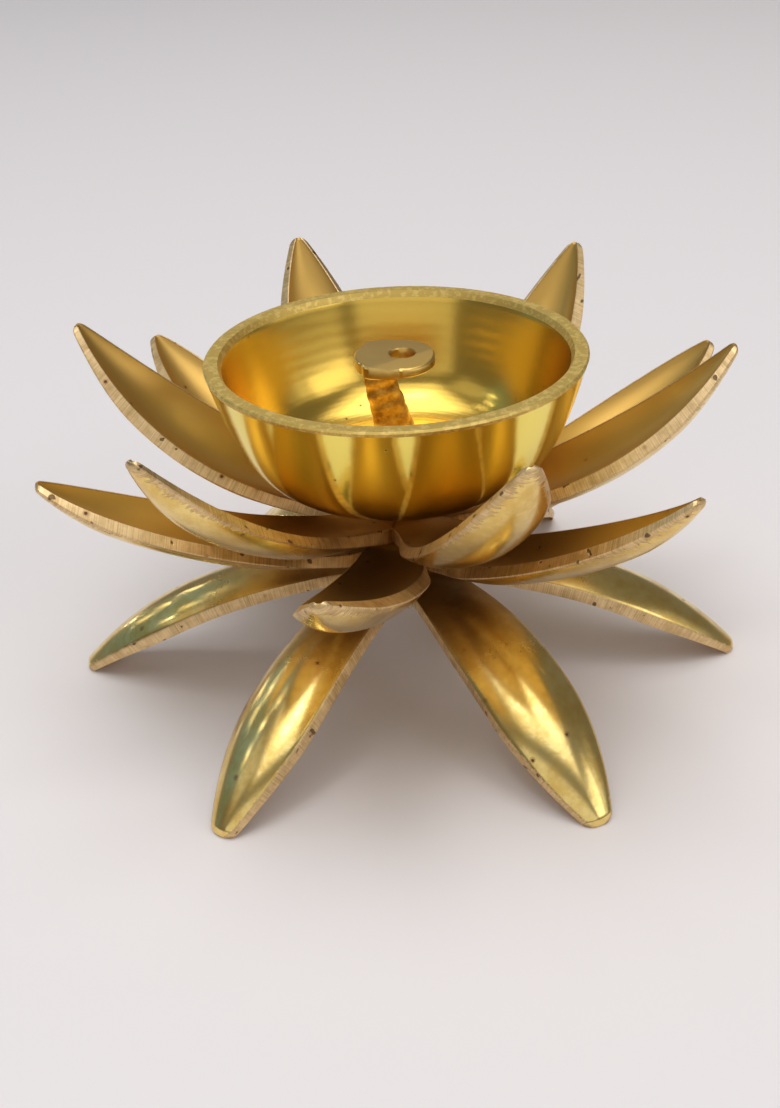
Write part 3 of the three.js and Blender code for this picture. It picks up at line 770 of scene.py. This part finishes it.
def tongue_head():
    """The head: closed loops from the wick hole's edge over the top, down the bevelled side and back below to
    the hole. Where the top lies past the facet's start, it falls by a power of the way past it."""
    turn = np.linspace(0, 2 * math.pi, HEAD_SEGMENTS, endpoint=False)
    reach = tongue_reach(turn)
    heading = np.stack([np.cos(turn), np.sin(turn)], 1)
    loops = [(0, HEAD_TOP - HOLE_BREAK, 0)]
    loops += [(share, HEAD_TOP, 0) for share in HEAD_TOP_SHARES]
    loops += [(1, HEAD_TOP - HEAD_BEVEL, HEAD_BEVEL), (1, HEAD_BOTTOM + HEAD_BEVEL, HEAD_BEVEL)]
    loops += [(share, HEAD_BOTTOM, 0) for share in HEAD_UNDER_SHARES]
    rows = []
    for share, height, outward in loops:
        radius = HOLE_RADIUS + (reach - HEAD_BEVEL - HOLE_RADIUS) * share + outward
        flat = heading * radius[:, None] + (HOLE_X, 0)
        past = np.maximum(flat @ FACET_FACING - FACET_FROM, 0)
        fall = FACET_FALL * past ** FACET_POWER if height > HEAD_BOTTOM + HEAD_BEVEL else 0 * past
        rows.append(np.column_stack([flat, height - fall]))
    points = np.stack(rows, 1)
    return points.reshape(-1, 3), grid_quads(*points.shape[:2], closed=True)[:, [0, 3, 2, 1]]


def wick_finish():
    """Rough orange cast brass, dressed satin on the head."""
    finish = Finish("wick_brass", metallic=1.0)
    dressed = finish.attribute("dressed")
    coarse = finish.noise(330, 4, 0.65)
    fine = finish.noise(1100, 3, 0.6)
    stops = ((0.32, CAST_DARK), (0.52, CAST_ORANGE), (0.72, CAST_LIGHT))
    cast = finish.add("ValToRGB", {"stops": stops}, "Color", Fac=coarse)
    smooth = finish.mix(finish.noise(60, 3, 0.6), DRESSED_DARK, DRESSED_LIGHT)
    finish.wear(base_color=finish.mix(dressed, cast, smooth),
                roughness=0.46 - dressed * 0.16 + coarse * 0.08,
                normal=finish.bump(coarse * (1 - dressed * 0.85) + fine * 0.15, 0.0003))
    return finish.material


stem_points = stem_loops()
stem_faces = capped_tube(*stem_points.shape[:2])
stem_points = stem_points.reshape(-1, 3)
foot_points, foot_faces = turned([
    (BORE_RADIUS, 0), (FOOT_RADIUS - FOOT_BREAK, 0), (FOOT_RADIUS, FOOT_BREAK),
    (FOOT_RADIUS, FOOT_RIM_HEIGHT), (FOOT_RADIUS - CONE_INSET, CONE_FROM_HEIGHT),
    (NECK_RADIUS + NECK_FLARE, CONE_TO_HEIGHT), (NECK_RADIUS, NECK_BREAK_HEIGHT),
    (NECK_RADIUS - NECK_BREAK, FOOT_HEIGHT), (SOCKET_CROWN, FOOT_HEIGHT + CROWN_RISE),
    (SOCKET_CROWN, SOCKET_DEPTH), (BORE_RADIUS, SOCKET_DEPTH)], ROUND_SEGMENTS)
head_points, head_faces = tongue_head()
points = np.concatenate([stem_points, foot_points + (0, 0, FOOT_BOTTOM), head_points])
faces = stem_faces + (foot_faces + len(stem_points)).tolist()
dressed = [0] * len(faces) + [1] * len(head_faces)
faces += (head_faces + len(stem_points) + len(foot_points)).tolist()
wick_holder = make_piece("wick_holder_cast", points, faces, [("dressed", "FACE", dressed)], sharp=40)
wick_holder.data.materials.append(wick_finish())
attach(wick_holder, "cup")
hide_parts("wick_holder")


# The spacers: short tubes turned from brass bar that hold the bowl and the rings apart. They sit loose on
# the stud and the clamp holds them.
COLLAR_RADIUS = 5.0
SPACER_RADIUS = 8.0
SPACER_BREAK = 0.3
SPACER_DARK = (0.62, 0.43, 0.16, 1)
SPACER_LIGHT = (0.78, 0.57, 0.24, 1)
LATHE_STRETCH = (60, 60, 2600)


def spacer_finish():
    """Plain turned brass with fine lathe lines: noise squeezed along the stud."""
    finish = Finish("spacer_brass", metallic=1.0)
    squeezed = finish.add("Mapping", {}, 0, Vector=finish.place(), Scale=LATHE_STRETCH)
    lines = finish.noise(1.0, 2, 0.5, squeezed)
    finish.wear(base_color=finish.mix(lines, SPACER_DARK, SPACER_LIGHT), roughness=0.34 + lines * 0.1,
                normal=finish.bump(lines, 0.00005))
    return finish.material


spacer_brass = spacer_finish()
for name, node, body, radius, hub_top, height in (
        ("bowl_collar_turned", "bowl_collar", "cup", COLLAR_RADIUS, UPPER_HUB_TOP, COLLAR_HEIGHT),
        ("upper_spacer_turned", "upper_spacer", "legs", SPACER_RADIUS, MIDDLE_HUB_TOP, UPPER_SPACER_HEIGHT),
        ("lower_spacer_turned", "lower_spacer", "legs", SPACER_RADIUS, LEG_HUB_TOP, LOWER_SPACER_HEIGHT)):
    points, quads = turned([
        (BORE_RADIUS, 0), (radius - SPACER_BREAK, 0), (radius, SPACER_BREAK), (radius, height - SPACER_BREAK),
        (radius - SPACER_BREAK, height), (BORE_RADIUS, height)], ROUND_SEGMENTS)
    spacer = make_piece(name, points + (0, 0, hub_top + SEAT_GAP), quads)
    spacer.data.materials.append(spacer_brass)
    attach(spacer, body)
    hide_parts(node)


# The clamp: a threaded steel stud through the whole stack, drawn up by a nut over a split spring
# washer and a flat washer, under the lowest hub. All zinc plated.
THREAD_PITCH = 1.0
THREAD_DEPTH = 0.32
THREAD_ROWS_A_TURN = 8
THREAD_SEGMENTS = 48
STUD_END_CHAMFER = 0.6
STUD_BELOW_NUT = 1.2
STUD_IN_FOOT = 4.2
WASHER_TOP = LEG_HUB_TOP - HUB_THICKNESS - SEAT_GAP
WASHER_RADIUS = 9.0
WASHER_THICKNESS = 1.2
SPRING_TOP = WASHER_TOP - WASHER_THICKNESS - SEAT_GAP
SPRING_RADIUS = 5.6
SPRING_THICKNESS = 1.4
SPRING_BREAK_INWARD = 0.1
SPRING_HALF_SPLIT_RADIANS = 0.11
SPRING_LOOPS = 97
STAMPED_BREAK = 0.15
NUT_TOP = SPRING_TOP - SPRING_THICKNESS - SEAT_GAP
NUT_HEIGHT = 5.0
NUT_ACROSS_FLATS = 10.0
NUT_CHAMFER = 0.45
NUT_FACE_IN = 0.15
NUT_CONE_PAST = 0.05
NUT_BORE_RADIUS = 3.15
NUT_BORE_BREAK = 0.3
NUT_SEGMENTS = 192
STUD_BOTTOM = NUT_TOP - NUT_HEIGHT - STUD_BELOW_NUT
STUD_TOP = FOOT_BOTTOM + STUD_IN_FOOT
ZINC_DARK = (0.50, 0.49, 0.47, 1)
ZINC_LIGHT = (0.66, 0.65, 0.61, 1)


def steel_finish():
    """Zinc-plated steel, satin, with a faint warm cast in patches."""
    finish = Finish("plated_steel", metallic=1.0)
    cloud = finish.noise(140, 3, 0.6)
    grain = finish.noise(1500, 2, 0.5)
    finish.wear(base_color=finish.mix(cloud, ZINC_DARK, ZINC_LIGHT), roughness=0.32 + cloud * 0.12,
                normal=finish.bump(grain, 0.00003))
    return finish.material


def thread():
    """The stud: its radius follows a triangle wave of height less turn, and narrows at both ends."""
    rows = int((STUD_TOP - STUD_BOTTOM) / THREAD_PITCH * THREAD_ROWS_A_TURN)
    height = np.linspace(STUD_BOTTOM, STUD_TOP, rows)[:, None]
    turn = np.linspace(0, 2 * math.pi, THREAD_SEGMENTS, endpoint=False)[None, :]
    wave = np.abs(((height / THREAD_PITCH - turn / (2 * math.pi)) % 1) * 2 - 1)
    from_end = np.minimum(height - STUD_BOTTOM, STUD_TOP - height)
    chamfer = STUD_END_CHAMFER * (1 - np.clip(from_end / STUD_END_CHAMFER, 0, 1))
    radius = STUD_RADIUS - THREAD_DEPTH * wave - chamfer
    return around(radius, turn, height), capped_tube(rows, THREAD_SEGMENTS)


def hexagon_nut():
    """The nut: at each turn its radius is the hexagon's, cut by a cone at each end, and its bore closes the
    section."""
    turn = np.linspace(0, 2 * math.pi, NUT_SEGMENTS, endpoint=False)
    half_flats = NUT_ACROSS_FLATS / 2
    hexagon = half_flats / np.cos((turn + math.pi / 6) % (math.pi / 3) - math.pi / 6)
    cone_start = half_flats - NUT_FACE_IN
    cone_end = NUT_ACROSS_FLATS / math.sqrt(3) + NUT_CONE_PAST
    loops = []
    ends = np.linspace(0, NUT_CHAMFER, 4)
    for height in (*ends, *(NUT_HEIGHT - ends[::-1])):
        cone = cone_start + (cone_end - cone_start) * min(height, NUT_HEIGHT - height) / NUT_CHAMFER
        loops.append(around(np.minimum(hexagon, cone), turn, height))
    mouth = NUT_BORE_RADIUS + NUT_BORE_BREAK
    for height, bore in ((NUT_HEIGHT, mouth), (NUT_HEIGHT - NUT_BORE_BREAK, NUT_BORE_RADIUS),
                         (NUT_BORE_BREAK, NUT_BORE_RADIUS), (0, mouth)):
        loops.append(around(bore, turn, height))
    points = np.stack(loops, 1)
    faces = grid_quads(*points.shape[:2], closed=True)
    return points + (0, 0, NUT_TOP - NUT_HEIGHT), faces


def split_ring():
    """The spring washer: a rectangle with broken outer edges, carried round the stud from one end of the
    split to the other."""
    ends = (SPRING_HALF_SPLIT_RADIANS, 2 * math.pi - SPRING_HALF_SPLIT_RADIANS)
    turn = np.linspace(*ends, SPRING_LOOPS)[:, None]
    section = np.array([(BORE_RADIUS, 0), (SPRING_RADIUS - SPRING_BREAK_INWARD, 0),
                        (SPRING_RADIUS, STAMPED_BREAK), (SPRING_RADIUS, SPRING_THICKNESS - STAMPED_BREAK),
                        (SPRING_RADIUS - SPRING_BREAK_INWARD, SPRING_THICKNESS),
                        (BORE_RADIUS, SPRING_THICKNESS)])
    faces = [face[::-1] for face in capped_tube(SPRING_LOOPS, len(section))]
    return around(section[:, 0], turn, section[:, 1]) + (0, 0, SPRING_TOP - SPRING_THICKNESS), faces


def flat_ring():
    """The flat washer: a rectangle with broken outer edges, turned."""
    points, quads = turned([
        (BORE_RADIUS, 0), (WASHER_RADIUS - STAMPED_BREAK, 0), (WASHER_RADIUS, STAMPED_BREAK),
        (WASHER_RADIUS, WASHER_THICKNESS - STAMPED_BREAK), (WASHER_RADIUS - STAMPED_BREAK, WASHER_THICKNESS),
        (BORE_RADIUS, WASHER_THICKNESS)], ROUND_SEGMENTS)
    return points + (0, 0, WASHER_TOP - WASHER_THICKNESS), quads


plated_steel = steel_finish()
for name, node, (points, faces) in (
        ("stud_threaded", "centre_stud", thread()), ("nut_chamfered", "hex_nut", hexagon_nut()),
        ("washer_split", "spring_washer", split_ring()), ("washer_flat", "flat_washer", flat_ring())):
    fastener = make_piece(name, points, faces)
    fastener.data.materials.append(plated_steel)
    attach(fastener, "cup")
    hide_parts(node)


# The table: a plain pale board of matt laminate that the lamp stands on, with the studio's soft lamps round
# it. Seven small bright ones make the round reflections on the left legs.
TABLE_SIZE = 6
TABLE_PALE = (0.92, 0.875, 0.885, 1)
LAMP_AIM = (0, 0, 0.05)
LEFT_LAMP_BLUE = (0.02, 0.5, 1)
SPOT_PLACES = [(-60, 50), (-71, 43), (-81, 36), (-36, 23), (-46, 22), (-53, 18), (-40, 4)]
SPOT_AWAY = 1.8
SPOT_SIZE = 0.045
SPOT_RADIANCE = 32
GLOW_COLOUR = (1, 0.96, 0.9, 1)
GLOW_STRENGTH = 0.17
BACKDROP_COLOUR = (1, 0.97, 0.97, 1)
BACKDROP_STRENGTH = 0.32

bpy.ops.mesh.primitive_plane_add(size=TABLE_SIZE)
table = bpy.context.object
table.name = "table"
table.data.materials.append(Finish("table_pale", roughness=0.55, base_color=TABLE_PALE).material)


def lamp(name, azimuth, elevation, away, width, height, radiance, colour=(1, 1, 1)):
    """A soft rectangular lamp looking at the piece, its lengths in metres and its angles in degrees. Azimuth
    0 is behind the piece, 90 its right side. Its power is pi times radiance times area."""
    data = bpy.data.lights.new(name, "AREA")
    data.shape = "RECTANGLE"
    data.size = width
    data.size_y = height
    data.color = colour
    data.energy = radiance * math.pi * width * height
    turn = math.radians(azimuth)
    lift = math.radians(elevation)
    heading = Vector((math.sin(turn) * math.cos(lift), math.cos(turn) * math.cos(lift), math.sin(lift)))
    fitting = bpy.data.objects.new(name, data)
    fitting.location = heading * away + Vector(LAMP_AIM)
    fitting.rotation_mode = "QUATERNION"
    fitting.rotation_quaternion = heading.to_track_quat("Z", "Y")
    bpy.context.scene.collection.objects.link(fitting)


lamp("lamp_ceiling", 0, 87, 1.6, 1.2, 1.2, 1.25)
lamp("lamp_halo", 180, 87, 1.7, 1.9, 1.9, 1.2)
lamp("lamp_core", -135, 76, 1.5, 0.3, 0.4, 2.5)
lamp("lamp_window", 122, 33, 2.0, 1.3, 0.8, 1.2)
lamp("lamp_window_halo", 116, 24, 2.1, 2.0, 1.1, 0.4)
lamp("lamp_back", 0, 38, 2.1, 1.7, 1.1, 0.32)
lamp("lamp_right", 88, 22, 2.2, 0.8, 0.8, 0.25)
lamp("lamp_front", -172, 26, 2.2, 3.0, 1.3, 0.6)
lamp("lamp_side", -104, 44, 2.2, 1.0, 0.7, 0.4)
lamp("lamp_left", -62, 26, 2.2, 2.0, 1.6, 0.2, LEFT_LAMP_BLUE)
for number, (azimuth, elevation) in enumerate(SPOT_PLACES):
    lamp(f"lamp_dot_{number}", azimuth, elevation, SPOT_AWAY, SPOT_SIZE, SPOT_SIZE, SPOT_RADIANCE)

# The studio's walls give a dim warm glow, and show as a lighter plain backdrop where the camera sees them.
world = bpy.data.worlds.new("studio")
world.use_nodes = True
walls = Nodes(world.node_tree)
walls.tree.nodes.remove(walls.tree.nodes["Background"])
glow = walls.add("Background", {}, 0, Color=GLOW_COLOUR, Strength=GLOW_STRENGTH)
backdrop = walls.add("Background", {}, 0, Color=BACKDROP_COLOUR, Strength=BACKDROP_STRENGTH)
seen = walls.add("LightPath", {}, "Is Camera Ray")
feed(walls.tree, walls.tree.nodes["World Output"].inputs["Surface"],
     walls.add("MixShader", {}, 0, i0=seen, i1=glow, i2=backdrop))
bpy.context.scene.world = world
bpy.context.scene.view_settings.view_transform = "Standard"
